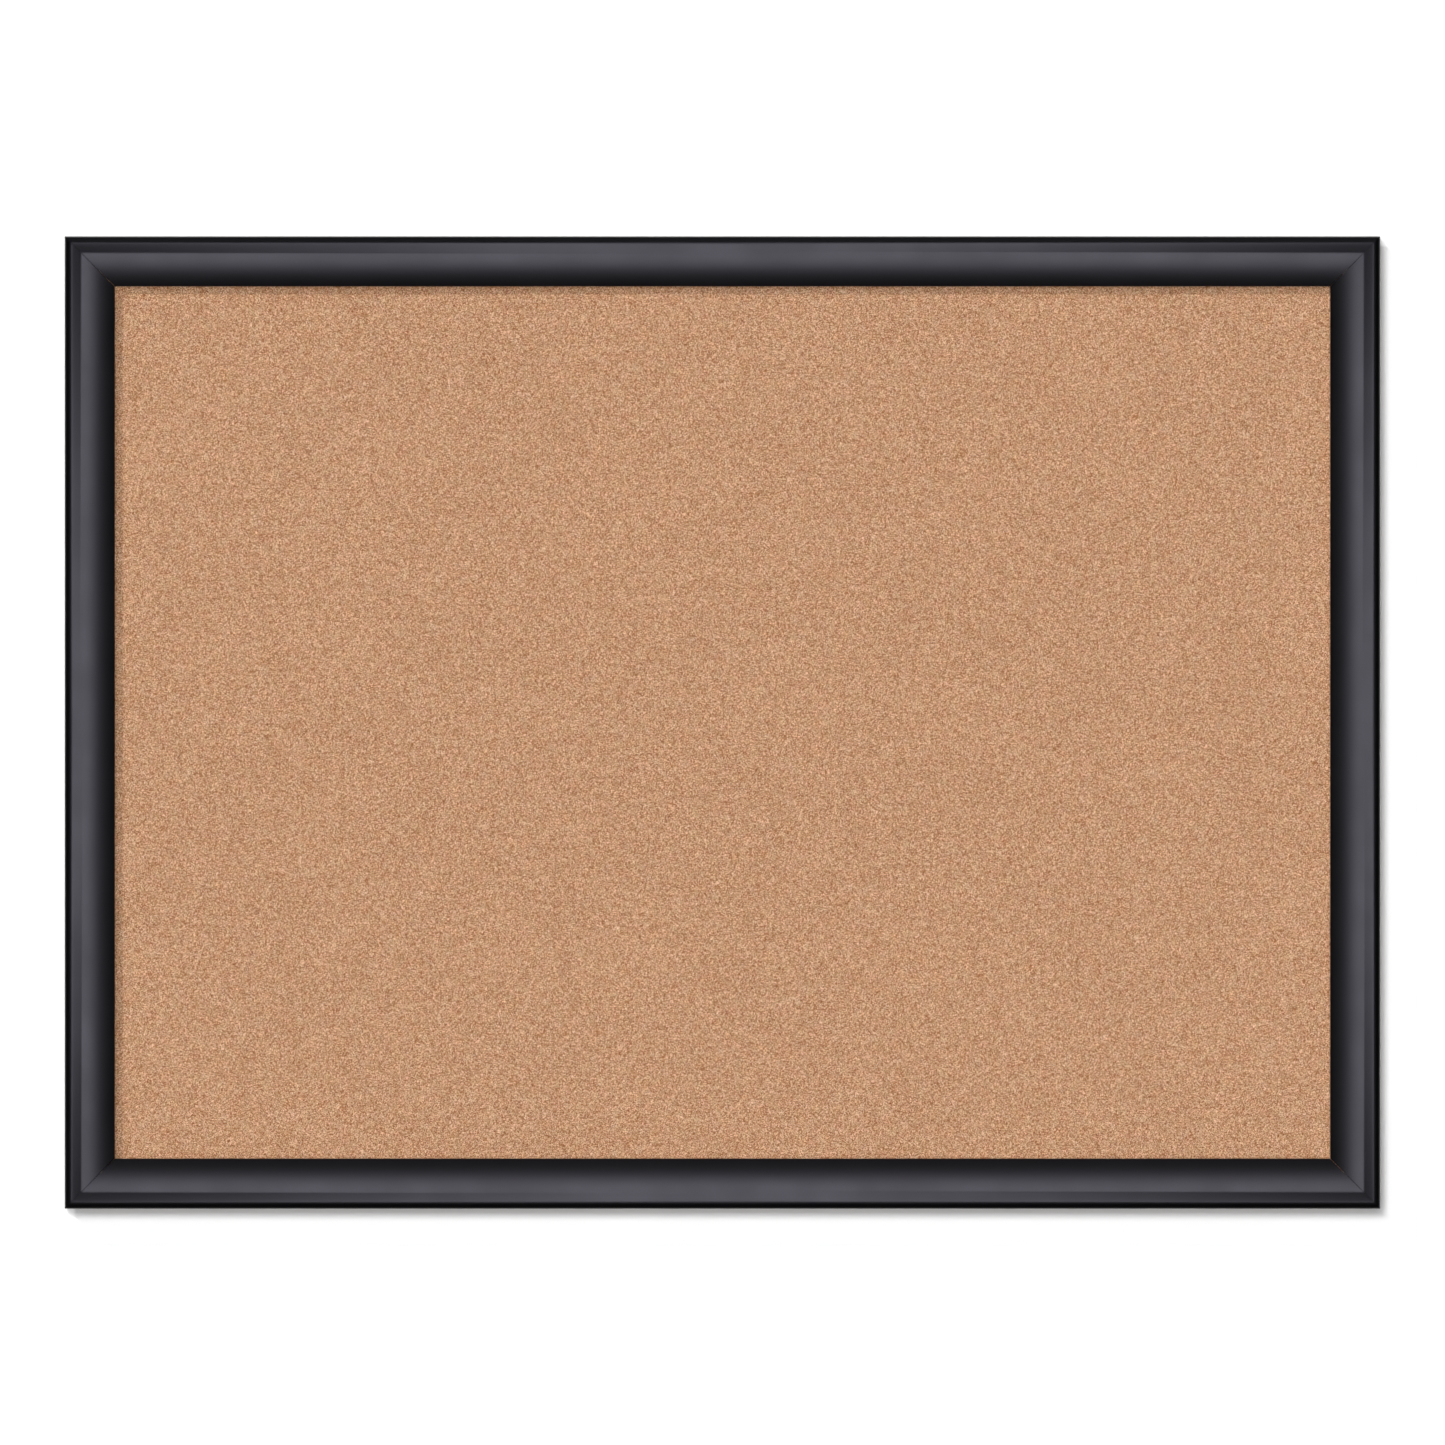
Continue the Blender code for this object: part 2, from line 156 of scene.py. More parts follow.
class BoardHardwareSettings(bpy.types.PropertyGroup):
    nail_arm: length("Nail Arm", "Length of each arm of a corner nail", 0.0052)
    nail_thickness: length("Nail Thickness", "Sheet thickness of a corner nail", 0.0006)
    nail_outer: length("Outer Nail Inset", "Inset of the outer corner nail", 0.0045)
    nail_inner: length("Inner Nail Inset", "Inset of the inner corner nail", 0.0108)
    nail_length: length("Nail Length", "How far a corner nail is driven in", 0.0070)
    wire_radius: length("Wire Radius", "Radius of the hanger ring's wire", 0.0009)
    sheet: length("Strap Sheet", "Thickness of the hanger strap's sheet", 0.0007)
    strap_width: length("Strap Width", "Width of the hanger strap", 0.0080)
    eye_clearance: length("Eye Clearance", "Room round the wire in the strap's eye", 0.0003)
    side_clearance: length("Ring Clearance", "Room between strap and ring on each side", 0.0010)
    ring_corner: length("Ring Corner", "Corner radius of the ring's centre line", 0.0018)
    ring_leg: length("Ring Leg", "Straight length of the ring's legs", 0.0035)
    neck: length("Strap Neck", "Distance from the pivot to the folded sheets", 0.0045)
    screw_drop: length("Screw Drop", "Distance from the pivot down to the screw", 0.0145)
    head_radius: length("Screw Head Radius", "Radius of the pan head", 0.0032)
    nickel: colour("Nickel", "Colour of the nickel plating", (0.66, 0.62, 0.56))
    steel: colour("Zinc Steel", "Colour of the zinc-plated steel", (0.56, 0.56, 0.55))
    rubber: colour("Rubber", "Colour of the bumpers", (0.018, 0.018, 0.018))


class BoardStudioSettings(bpy.types.PropertyGroup):
    view_width: length("View Width", "Width that the camera takes in at the board", 0.6415)
    lens: amount("Lens", "Focal length in millimetres", 800.0)
    front_strength: amount("Front Light", "Radiance of the softbox behind the camera", 7.05)
    top_strength: amount("Top Light", "Radiance of the weak light overhead", 0.6)
    back_strength: amount("Back Light", "Radiance of the wide light behind the board", 1.8)
    key_strength: amount("Key Light", "Irradiance of the small light at the upper left", 1.45)
    wall_strength: amount("Wall Light", "Irradiance of the light on the wall", 2.2)
    floor_drop: length("Hanging Height", "Height of the board's middle over the floor", 1.4)


# ---- node wiring

class Wiring:
    """Adds nodes to one tree and joins them. A node given as a value stands for its first output."""

    def __init__(self, tree):
        self.tree = tree

    def plug(self, socket, value):
        if isinstance(value, bpy.types.Node):
            value = value.outputs[0]
        if isinstance(value, bpy.types.NodeSocket):
            self.tree.links.new(value, socket)
        else:
            socket.default_value = value

    def put(self, kind, plugs=None, **settings):
        made = self.tree.nodes.new(kind)
        for name, value in settings.items():
            setattr(made, name, value)
        for key, value in (plugs or {}).items():
            self.plug(made.inputs[key], value)
        return made

    def geo(self, kind, plugs=None, **settings):
        return self.put("GeometryNode" + kind, plugs, **settings)

    def sums(self, operation, *values):
        return self.put("ShaderNodeMath", dict(enumerate(values)), operation=operation)

    def plus(self, first, second):
        return self.sums("ADD", first, second)

    def minus(self, first, second):
        return self.sums("SUBTRACT", first, second)

    def times(self, first, second):
        return self.sums("MULTIPLY", first, second)

    def size(self, value):
        return self.sums("ABSOLUTE", value)

    def axes(self, place):
        return self.put("ShaderNodeSeparateXYZ", {0: place}).outputs

    def channels(self, tint):
        return self.put("ShaderNodeSeparateColor", {0: tint}).outputs

    def grey(self, value):
        return self.put("ShaderNodeCombineColor", {0: value, 1: value, 2: value})

    def spread(self, value, low, high, to_low=0.0, to_high=1.0, kind="LINEAR"):
        plugs = {"Value": value, 1: low, 2: high, 3: to_low, 4: to_high}
        return self.put("ShaderNodeMapRange", plugs, interpolation_type=kind)

    def noise(self, place, scale, detail=2.0, roughness=0.5):
        given = {"Vector": place, "Scale": scale, "Detail": detail, "Roughness": roughness}
        return self.put("ShaderNodeTexNoise", given)

    def cells(self, place, scale):
        return self.put("ShaderNodeTexVoronoi", {"Vector": place, "Scale": scale})

    def stretched(self, place, scale, turn=(0.0, 0.0, 0.0)):
        return self.put("ShaderNodeMapping", {"Vector": place, "Scale": scale, "Rotation": turn})

    def blend(self, factor, first, second, mode="MIX"):
        made = self.put("ShaderNodeMix", {0: factor, 6: first, 7: second}, data_type="RGBA", blend_type=mode)
        return made.outputs[2]

    def ramp(self, factor, stops):
        made = self.put("ShaderNodeValToRGB", {"Fac": factor})
        elements = made.color_ramp.elements
        while len(elements) < len(stops):
            elements.new(0.5)
        for element, (position, tint) in zip(elements, stops):
            element.position = position
            element.color = (*tint, 1.0)
        return made.outputs["Color"]

    def bump(self, height, distance, strength=1.0, normal=None):
        plugs = {"Height": height, "Distance": distance, "Strength": strength}
        if normal is not None:
            plugs["Normal"] = normal
        return self.put("ShaderNodeBump", plugs)


def new_finish(name, **uniform):
    """A Principled material: its Wiring, its shader and the place on the object in metres."""
    finish = bpy.data.materials.new(name)
    finish.use_nodes = True
    wiring = Wiring(finish.node_tree)
    shader = finish.node_tree.nodes["Principled BSDF"]
    for socket, value in uniform.items():
        shader.inputs[socket.replace("_", " ")].default_value = value
    place = wiring.put("ShaderNodeTexCoord").outputs["Object"]
    return finish, wiring, shader, place


def shaded(tint, factor):
    """A colour made lighter or darker."""
    return tuple(channel * factor for channel in tint)


def stepped(tint, step):
    """A colour moved by about the same visible step in each channel, a little less in red."""
    moved = [channel ** (1 / 2.2) + step * weight for channel, weight in zip(tint, (0.86, 1.0, 1.02))]
    return tuple(min(1.0, max(0.0, value)) ** 2.2 for value in moved)


# ---- finishes

def black_lacquer(settings):
    """Satin black over fibreboard, with a faint orange peel; the back and the rebate are left bare."""
    finish, w, shader, place = new_finish("black_lacquer", Specular_IOR_Level=0.405)
    shader.inputs["Specular Tint"].default_value = (0.868, 0.842, 1.0, 1.0)
    axes = w.axes(place)
    inset_x = w.minus(HALF_WIDTH, w.size(axes["X"]))
    inset_z = w.minus(HALF_HEIGHT, w.size(axes["Z"]))
    inset = w.sums("MINIMUM", inset_x, inset_z)
    ragged = w.spread(w.noise(place, 900.0, 3.0), 0.3, 0.7, settings.wrap - 0.0003, settings.wrap + 0.0003)
    on_back = w.sums("GREATER_THAN", axes["Y"], BACK_Y - 0.0002)
    bare_back = w.times(on_back, w.sums("GREATER_THAN", inset, ragged))
    rebate_inset = settings.rail_width - settings.rebate_width
    in_rebate = w.sums("GREATER_THAN", inset, rebate_inset - 0.0002)
    over_ledge = w.sums("GREATER_THAN", axes["Y"], BACK_Y - settings.rebate_depth - 0.0004)
    bare = w.sums("MAXIMUM", bare_back, w.times(in_rebate, over_ledge))

    fibres = w.noise(place, 1400.0, 4.0, 0.65)
    raw = w.ramp(fibres, [
        (0.30, shaded(settings.raw, 0.62)), (0.50, settings.raw), (0.72, shaded(settings.raw, 1.28)),
    ])
    patches = w.noise(place, 25.0, 2.0)
    black = w.ramp(patches, [(0.35, shaded(settings.black, 0.85)), (0.65, shaded(settings.black, 1.15))])
    w.plug(shader.inputs["Base Color"], w.blend(bare, black, raw))
    satin = w.spread(w.noise(place, 55.0, 3.0), 0.3, 0.7, settings.roughness - 0.02, settings.roughness + 0.02)
    rough = w.sums("MULTIPLY_ADD", bare, 0.4, satin)
    w.plug(shader.inputs["Roughness"], rough)
    peel = w.noise(place, 520.0, 2.0, 0.4)
    first = w.bump(peel, 0.00002, 0.35)
    w.plug(shader.inputs["Normal"], w.bump(w.times(fibres, bare), 0.00012, 0.8, first))
    return finish


def cork(settings):
    """Pressed cork: fine granules in tan, with bark specks, pale flecks and slow drifts of hue."""
    finish, w, shader, place = new_finish("cork", Roughness=0.9, Specular_IOR_Level=0.12)
    scale = 1.0 / settings.granule
    drift = w.noise(place, 0.45 * scale, 2.0)
    shifted = w.put("ShaderNodeVectorMath", {0: drift.outputs["Color"], 1: (0.0006, 0.0006, 0.0006)},
                    operation="MULTIPLY")
    warped = w.put("ShaderNodeVectorMath", {0: place, 1: shifted}, operation="ADD")
    granule = w.cells(warped, scale)
    chips = w.cells(warped, 0.42 * scale)
    dust = w.noise(place, 2.1 * scale, 2.0, 0.7)
    tone = w.channels(granule.outputs["Color"])
    chip_tone = w.channels(chips.outputs["Color"])
    value = w.plus(w.times(tone[0], 0.50), w.times(dust, 0.40))
    value = w.plus(value, w.times(chip_tone[0], 0.10))
    steps = [stepped(settings.middle, settings.contrast * part) for part in (-1.0, -0.5, 0.0, 0.5, 1.0)]
    body = w.ramp(value, list(zip((0.16, 0.33, 0.50, 0.67, 0.84), steps)))
    speck = w.spread(tone[1], 0.925, 0.945)
    body = w.blend(w.times(speck, 0.85), body, (*stepped(settings.middle, -0.32), 1.0))
    fleck = w.spread(tone[2], 0.945, 0.965)
    body = w.blend(w.times(fleck, 0.8), body, (*stepped(settings.middle, 0.27), 1.0))
    drifts = w.channels(w.noise(place, 200.0, 2.0, 0.6).outputs["Color"])
    pink = w.blend(w.spread(drifts[0], 0.35, 0.65), (1.03, 0.985, 0.985, 1.0), (0.97, 1.015, 1.015, 1.0))
    body = w.blend(1.0, body, pink, "MULTIPLY")
    yellow = w.blend(w.spread(drifts[1], 0.35, 0.65), (1.0, 1.0, 0.95, 1.0), (1.0, 1.0, 1.05, 1.0))
    body = w.blend(1.0, body, yellow, "MULTIPLY")
    cloud = w.spread(w.noise(place, 32.0, 2.0), 0.3, 0.7, 0.982, 1.018)
    w.plug(shader.inputs["Base Color"], w.blend(1.0, body, w.grey(cloud), "MULTIPLY"))
    height = w.plus(w.times(granule.outputs["Distance"], -0.5), w.times(dust, 0.7))
    w.plug(shader.inputs["Normal"], w.bump(height, 0.00018, settings.grain))
    return finish


def kraft_paper(settings):
    """Brown wrapping paper: long pale and dark fibres, fine ribs and specks."""
    finish, w, shader, place = new_finish("kraft_paper", Roughness=0.78, Specular_IOR_Level=0.25)
    lengthwise = w.noise(w.stretched(place, (90.0, 90.0, 1500.0)), 1.0, 4.0, 0.7)
    slanted = w.noise(w.stretched(place, (260.0, 260.0, 1900.0), (0.0, 0.7, 0.0)), 1.0, 3.0, 0.6)
    fibres = w.sums("MULTIPLY_ADD", w.minus(lengthwise, slanted), 0.5, 0.5)
    tint = settings.kraft
    body = w.ramp(fibres, [(0.28, shaded(tint, 0.74)), (0.50, tint), (0.74, shaded(tint, 1.22))])
    clouds = w.spread(w.noise(place, 28.0, 3.0), 0.3, 0.7, 0.92, 1.06)
    body = w.blend(1.0, body, w.grey(clouds), "MULTIPLY")
    specks = w.spread(w.noise(place, 1300.0, 1.0), 0.70, 0.76)
    w.plug(shader.inputs["Base Color"], w.blend(w.times(specks, 0.6), body, (*shaded(tint, 0.35), 1.0)))
    ribs = w.put("ShaderNodeTexWave", {"Vector": place, "Scale": 260.0, "Distortion": 1.5, "Detail": 1.0},
                 bands_direction="X")
    height = w.sums("MULTIPLY_ADD", ribs.outputs["Fac"], 0.25, fibres)
    w.plug(shader.inputs["Normal"], w.bump(height, 0.00006, 0.5))
    return finish


def fibreboard(settings):
    """The cut edge and face of soft fibreboard."""
    finish, w, shader, place = new_finish("fibreboard", Roughness=0.92, Specular_IOR_Level=0.15)
    strands = w.noise(w.stretched(place, (500.0, 2600.0, 500.0)), 1.0, 5.0, 0.7)
    tint = settings.fibreboard
    body = w.ramp(strands, [(0.30, shaded(tint, 0.55)), (0.52, tint), (0.75, shaded(tint, 1.6))])
    w.plug(shader.inputs["Base Color"], body)
    w.plug(shader.inputs["Normal"], w.bump(strands, 0.0003, 0.8))
    return finish


def plated_metal(name, tint, roughness, brush, wear):
    """Plated sheet and wire: fine drawing marks, cloudy gloss and small dull spots."""
    finish, w, shader, place = new_finish(name, Metallic=1.0)
    drawn = w.noise(w.stretched(place, (brush, 0.2 * brush, 0.15 * brush)), 1.0, 3.0, 0.6)
    clouds = w.noise(place, 700.0, 3.0, 0.6)
    body = w.ramp(clouds, [(0.32, shaded(tint, 0.82)), (0.60, tint), (0.80, shaded(tint, 1.08))])
    spots = w.spread(w.noise(place, 2600.0, 2.0), 0.66, 0.74)
    spots = w.times(spots, wear)
    w.plug(shader.inputs["Base Color"], w.blend(spots, body, (*shaded(tint, 0.45), 1.0)))
    gloss = w.spread(clouds, 0.3, 0.7, 0.75 * roughness, 1.3 * roughness)
    w.plug(shader.inputs["Roughness"], w.sums("MULTIPLY_ADD", spots, 0.25, gloss))
    w.plug(shader.inputs["Normal"], w.bump(drawn, 0.00001, 0.5))
    return finish


def black_rubber(settings):
    """Moulded rubber with a fine matt texture and a little dust."""
    finish, w, shader, place = new_finish("black_rubber", Specular_IOR_Level=0.4)
    grain = w.noise(place, 4200.0, 2.0, 0.6)
    dust = w.spread(w.noise(place, 1100.0, 4.0, 0.7), 0.52, 0.80)
    body = w.blend(w.times(dust, 0.35), (*settings.rubber, 1.0), (*shaded(settings.rubber, 5.0), 1.0))
    w.plug(shader.inputs["Base Color"], body)
    w.plug(shader.inputs["Roughness"], w.spread(grain, 0.3, 0.7, 0.6, 0.8))
    w.plug(shader.inputs["Normal"], w.bump(grain, 0.00004, 0.6))
    return finish


# ---- shapes

def linked(name, mesh):
    """A new object at the origin in the scene."""
    made = bpy.data.objects.new(name, mesh)
    bpy.context.scene.collection.objects.link(made)
    return made


def wire_loop(name, points):
    """A closed loop of edges through these points."""
    mesh = bpy.data.meshes.new(name)
    edges = [(i, (i + 1) % len(points)) for i in range(len(points))]
    mesh.from_pydata([tuple(point) for point in points], edges, [])
    return mesh


def arc(centre, radius, start, end, steps):
    """Points along an arc, both ends included."""
    angles = [start + (end - start) * i / steps for i in range(steps + 1)]
    return [(centre[0] + radius * math.cos(a), centre[1] + radius * math.sin(a)) for a in angles]


def baked(name, shape):
    """A mesh from a bmesh, which is freed."""
    mesh = bpy.data.meshes.new(name)
    shape.to_mesh(mesh)
    shape.free()
    return mesh


def skin(shape, rows):
    """Joins rows of points into a sheet."""
    for low, high in zip(rows, rows[1:]):
        for j in range(len(low) - 1):
            shape.faces.new((low[j], low[j + 1], high[j + 1], high[j]))


def clean(mesh):
    """Merges doubles and turns the faces outwards."""
    shape = bmesh.new()
    shape.from_mesh(mesh)
    bmesh.ops.remove_doubles(shape, verts=shape.verts, dist=1e-7)
    bmesh.ops.recalc_face_normals(shape, faces=shape.faces)
    shape.to_mesh(mesh)
    shape.free()
    return mesh


def turned(profile, sides):
    """A shape turned round the Y axis from (radius, y) points, closed on the axis at both ends."""
    shape = bmesh.new()
    rings = []
    for radius, y in profile:
        angles = [2 * math.pi * i / sides for i in range(sides)]
        rings.append([shape.verts.new((radius * math.cos(a), y, radius * math.sin(a))) for a in angles])
    for low, high in zip(rings, rings[1:]):
        for i in range(sides):
            j = (i + 1) % sides
            shape.faces.new((low[i], low[j], high[j], high[i]))
    shape.faces.new(rings[0])
    shape.faces.new(rings[-1])
    return clean(baked("turned", shape))


def prism(outline, back_y, front_y):
    """A flat outline in X and Z given a thickness along Y."""
    shape = bmesh.new()
    layers = [[shape.verts.new((x, y, z)) for x, z in outline] for y in (back_y, front_y)]
    for layer in layers:
        shape.faces.new(layer)
    for i in range(len(outline)):
        j = (i + 1) % len(outline)
        shape.faces.new((layers[0][i], layers[0][j], layers[1][j], layers[1][i]))
    return clean(baked("prism", shape))


def settled(obj):
    """The object with its modifiers applied as a plain mesh."""
    graph = bpy.context.evaluated_depsgraph_get()
    graph.update()
    mesh = bpy.data.meshes.new_from_object(obj.evaluated_get(graph), depsgraph=graph)
    obj.modifiers.clear()
    mesh.name = obj.name
    obj.data = mesh
    return obj


def taken(obj):
    """The mesh that an object's modifiers make of it. The object itself is removed."""
    mesh = settled(obj).data
    bpy.data.objects.remove(obj)
    return mesh


def softened(mesh, width, angle=35.0):
    """The mesh with its sharp edges bevelled and its faces shaded smooth."""
    obj = linked("softened", mesh)
    bevel = obj.modifiers.new("Bevel", "BEVEL")
    bevel.width = width
    bevel.segments = 2
    bevel.limit_method = "ANGLE"
    bevel.angle_limit = math.radians(angle)
    bevel.harden_normals = False
    made = taken(obj)
    made.shade_smooth()
    return made


def grown(name, base, tree, finish, **sizes):
    """A piece that a Geometry Nodes tree makes from a base mesh, as a plain mesh."""
    obj = linked(name, base)
    modifier = obj.modifiers.new(tree.name, "NODES")
    modifier.node_group = tree
    values = {**{key.replace("_", " "): value for key, value in sizes.items()}, "Finish": finish}
    for item in tree.interface.items_tree:
        if item.item_type == "SOCKET" and item.in_out == "INPUT" and item.name in values:
            modifier[item.identifier] = values.pop(item.name)
    if values:
        raise ValueError(f"{tree.name} has no input called {sorted(values)}")
    return settled(obj)


def finished(piece, body, slot, *nodes):
    """Puts the piece on the body it rides on and hides the CAD nodes it stands for. The slot argument is not
    used.
    """
    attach(piece, body)
    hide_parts(*nodes)


# ---- node trees

def floats(names):
    """Tree inputs that hold plain numbers."""
    return [(name, "Float") for name in names.split(", ")]


def new_tree(name, sizes):
    """An empty Geometry Nodes tree with named inputs: its Wiring, its inputs and its output socket."""
    tree = bpy.data.node_groups.new(name, "GeometryNodeTree")
    face = tree.interface
    face.new_socket("Geometry", in_out="INPUT", socket_type="NodeSocketGeometry")
    for label, kind in sizes:
        face.new_socket(label, in_out="INPUT", socket_type="NodeSocket" + kind)
    face.new_socket("Finish", in_out="INPUT", socket_type="NodeSocketMaterial")
    face.new_socket("Geometry", in_out="OUTPUT", socket_type="NodeSocketGeometry")
    w = Wiring(tree)
    return w, w.put("NodeGroupInput").outputs, w.put("NodeGroupOutput").inputs[0]


def close_tree(w, geometry, given, result):
    """Shades by angle, realises the instances and sets the material."""
    real = w.geo("RealizeInstances", {0: geometry})
    smooth = w.geo("SetShadeSmooth", {"Geometry": real, "Shade Smooth": True})
    sharp = w.sums("GREATER_THAN", w.geo("InputMeshEdgeAngle"), CREASE)
    creased = w.geo("SetShadeSmooth",
                    {"Geometry": smooth, "Selection": sharp, "Shade Smooth": False}, domain="EDGE")
    w.plug(result, w.geo("SetMaterial", {"Geometry": creased, "Material": given["Finish"]}))


def mitred_rail_tree():
    """Sweeps a rail's closed section between two mitres. The section's X is the inset and its Y is y."""
    middle_inset, middle_y, pull = 0.0100, -0.0130, 60.0
    w, given, result = new_tree("Mitred Rail", floats("Long Side, Across, Turn, Mitre Gap, Arris"))
    axes = w.axes(w.geo("InputPosition"))
    section = w.geo("MeshToCurve", {"Mesh": given["Geometry"]})

    def store(geometry, label, value):
        plugs = {"Geometry": geometry, "Name": label, "Value": value}
        return w.geo("StoreNamedAttribute", plugs, data_type="FLOAT")

    section = store(store(section, "inset", axes["X"]), "place_y", axes["Y"])
    line = w.geo("CurvePrimitiveLine", {"Start": (-1.0, 0.0, 0.0), "End": (1.0, 0.0, 0.0)})
    path = w.geo("ResampleCurve", {"Curve": line, "Count": 5})
    row = w.minus(w.geo("InputIndex"), 2.0)
    swept = w.geo("CurveToMesh", {"Curve": store(path, "row", row), "Profile Curve": section, "Fill Caps": True})

    def stored(label):
        return w.geo("InputNamedAttribute", {"Name": label}, data_type="FLOAT")

    inset, place_y, row = stored("inset"), stored("place_y"), stored("row")
    from_end = w.minus(2.0, w.size(row))
    at_end = w.sums("LESS_THAN", from_end, 0.5)
    reach = w.minus(w.times(given["Long Side"], 0.5), inset)
    reach = w.minus(reach, w.times(given["Mitre Gap"], math.sqrt(0.5)))
    reach = w.minus(reach, w.times(from_end, given["Arris"]))
    along = w.times(w.sums("SIGN", row), reach)
    tuck = w.times(w.times(at_end, given["Arris"]), pull)

    def tucked(value, middle):
        return w.sums("MULTIPLY_ADD", w.minus(middle, value), tuck, value)

    up = w.minus(given["Across"], tucked(inset, middle_inset))
    flat = w.put("ShaderNodeCombineXYZ", {0: along, 1: tucked(place_y, middle_y), 2: up})
    place = w.put("ShaderNodeVectorRotate", {"Vector": flat, "Angle": given["Turn"]}, rotation_type="Y_AXIS")
    shaped = w.geo("SetPosition", {"Geometry": swept, "Position": place})
    for label in ("inset", "place_y", "row"):
        shaped = w.geo("RemoveAttribute", {"Geometry": shaped, "Name": label})
    close_tree(w, shaped, given, result)
    return w.tree


def relief_sheet_tree():
    """A closed sheet whose upper face has a low uneven relief, stood upright facing the front or the back."""
    counts = [("Columns", "Int"), ("Rows", "Int")]
    w, given, result = new_tree("Relief Sheet", floats("Width, Height, Thickness") + counts + floats(
        "Relief, Pattern Scale, Detail, Seed, Border, Tilt, Face Y"))
    grid = w.geo("MeshGrid", {
        "Size X": given["Width"], "Size Y": given["Height"],
        "Vertices X": given["Columns"], "Vertices Y": given["Rows"],
    })
    position = w.geo("InputPosition")
    pattern = w.put("ShaderNodeTexNoise", {
        "Vector": position, "W": given["Seed"], "Scale": given["Pattern Scale"], "Detail": given["Detail"],
        "Roughness": 0.6,
    }, noise_dimensions="4D")
    axes = w.axes(position)
    edge_x = w.minus(w.times(given["Width"], 0.5), w.size(axes["X"]))
    edge_y = w.minus(w.times(given["Height"], 0.5), w.size(axes["Y"]))
    to_edge = w.sums("DIVIDE", w.sums("MINIMUM", edge_x, edge_y), given["Border"])
    fade = w.put("ShaderNodeClamp", {"Value": to_edge})
    rise = w.times(w.minus(pattern.outputs[0], 0.5), given["Relief"])
    lift = w.put("ShaderNodeCombineXYZ", {2: w.times(rise, fade)})
    top = w.geo("SetPosition", {"Geometry": grid, "Offset": lift})
    neighbours = w.geo("InputMeshEdgeNeighbors")
    on_rim = w.sums("LESS_THAN", neighbours, 1.5)
    down = w.put("ShaderNodeCombineXYZ", {2: w.times(given["Thickness"], -1.0)})
    walls = w.geo("ExtrudeMesh",
                  {"Mesh": top, "Selection": on_rim, "Offset": down, "Offset Scale": 1.0}, mode="EDGES")
    rim = w.geo("MeshToCurve", {"Mesh": walls, "Selection": walls.outputs["Top"]})
    under = w.geo("FillCurve", {"Curve": rim}, mode="NGONS")
    under = w.geo("SetPosition", {"Geometry": under, "Offset": down})
    join = w.geo("JoinGeometry")
    for part in (walls, under):
        w.tree.links.new(part.outputs[0], join.inputs[0])
    whole = w.geo("MergeByDistance", {"Geometry": join, "Distance": 1e-6})
    stand = w.geo("Transform", {
        "Geometry": whole,
        "Translation": w.put("ShaderNodeCombineXYZ", {1: given["Face Y"]}),
        "Rotation": w.put("ShaderNodeCombineXYZ", {0: given["Tilt"]}),
    })
    close_tree(w, stand, given, result)
    return w.tree


def set_out_tree(name, runs):
    """Sets out copies of one shape along straight runs, each with its start, end, count and turn about Y."""
    sizes = []
    for run in range(1, runs + 1):
        sizes += [(f"{label} {run}", kind) for label, kind in RUN_INPUTS.items()]
    w, given, result = new_tree(name, sizes)
    join = w.geo("JoinGeometry")
    for run in range(1, runs + 1):
        start, end, count = (given[f"{label} {run}"] for label in ("Start", "End", "Count"))
        line = w.geo("MeshLine", {"Count": count, "Start Location": start, "Offset": end}, mode="END_POINTS")
        turn = w.put("ShaderNodeCombineXYZ", {1: given[f"Turn {run}"]})
        copies = w.geo("InstanceOnPoints",
                       {"Points": line, "Instance": given["Geometry"], "Rotation": turn})
        w.tree.links.new(copies.outputs[0], join.inputs[0])
    close_tree(w, join, given, result)
    return w.tree


def bent_wire_tree():
    """Round wire along a closed path."""
    w, given, result = new_tree("Bent Wire", [("Wire Radius", "Float"), ("Sides", "Int")])
    path = w.geo("MeshToCurve", {"Mesh": given["Geometry"]})
    section = w.geo("CurvePrimitiveCircle", {"Resolution": given["Sides"], "Radius": given["Wire Radius"]})
    close_tree(w, w.geo("CurveToMesh", {"Curve": path, "Profile Curve": section}), given, result)
    return w.tree


def set_out(name, master, finish, *runs):
    """Copies of a master shape along runs of (start, end, count, turn)."""
    tree = set_out_tree("Set Out " + name.replace("_", " ").title(), len(runs))
    sizes = {}
    for number, run in enumerate(runs, 1):
        sizes.update({f"{label}_{number}": value for label, value in zip(RUN_INPUTS, run)})
    return grown(name, master, tree, finish, **sizes)


# ---- pieces

def rail_section(s):
    """The moulding's section as (inset, y), drawn once round from the rebate across the back and the face."""
    lip_centre = (s.rail_width - s.lip_radius, s.rebate_depth + s.lip_edge)
    foot = (lip_centre[0] + s.lip_radius * math.sin(s.lip_slope),
            lip_centre[1] + s.lip_radius * math.cos(s.lip_slope))
    sweep = (foot[0] - s.crest_end) / math.sin(s.lip_slope)
    sweep_centre = (s.crest_end, foot[1] - sweep * math.cos(s.lip_slope))
    crest = sweep_centre[1] + sweep
    back = TOP_RAIL[1].y - BACK_Y
    small, tiny = 0.0005, 0.0002
    rebate = s.rail_width - s.rebate_width
    points = [(rebate - tiny, back)]
    points += arc((small, back + small), small, 1.5 * math.pi, math.pi, 4)
    points += arc((s.outer_radius, crest - s.outer_radius), s.outer_radius, math.pi, UPRIGHT, 18)
    points += [(s.outer_radius + (s.crest_end - s.outer_radius) * part, crest) for part in (0.25, 0.5, 0.75)]
    points += arc(sweep_centre, sweep, UPRIGHT, UPRIGHT - s.lip_slope, 20)
    points += arc(lip_centre, s.lip_radius, UPRIGHT - s.lip_slope, 0.0, 9)[1:]
    points += arc((s.rail_width - tiny, s.rebate_depth + tiny), tiny, 0.0, -UPRIGHT, 3)
    points += [(rebate, s.rebate_depth), (rebate, back + tiny)]
    return [(inset, TOP_RAIL[1].y - depth, 0.0) for inset, depth in points]


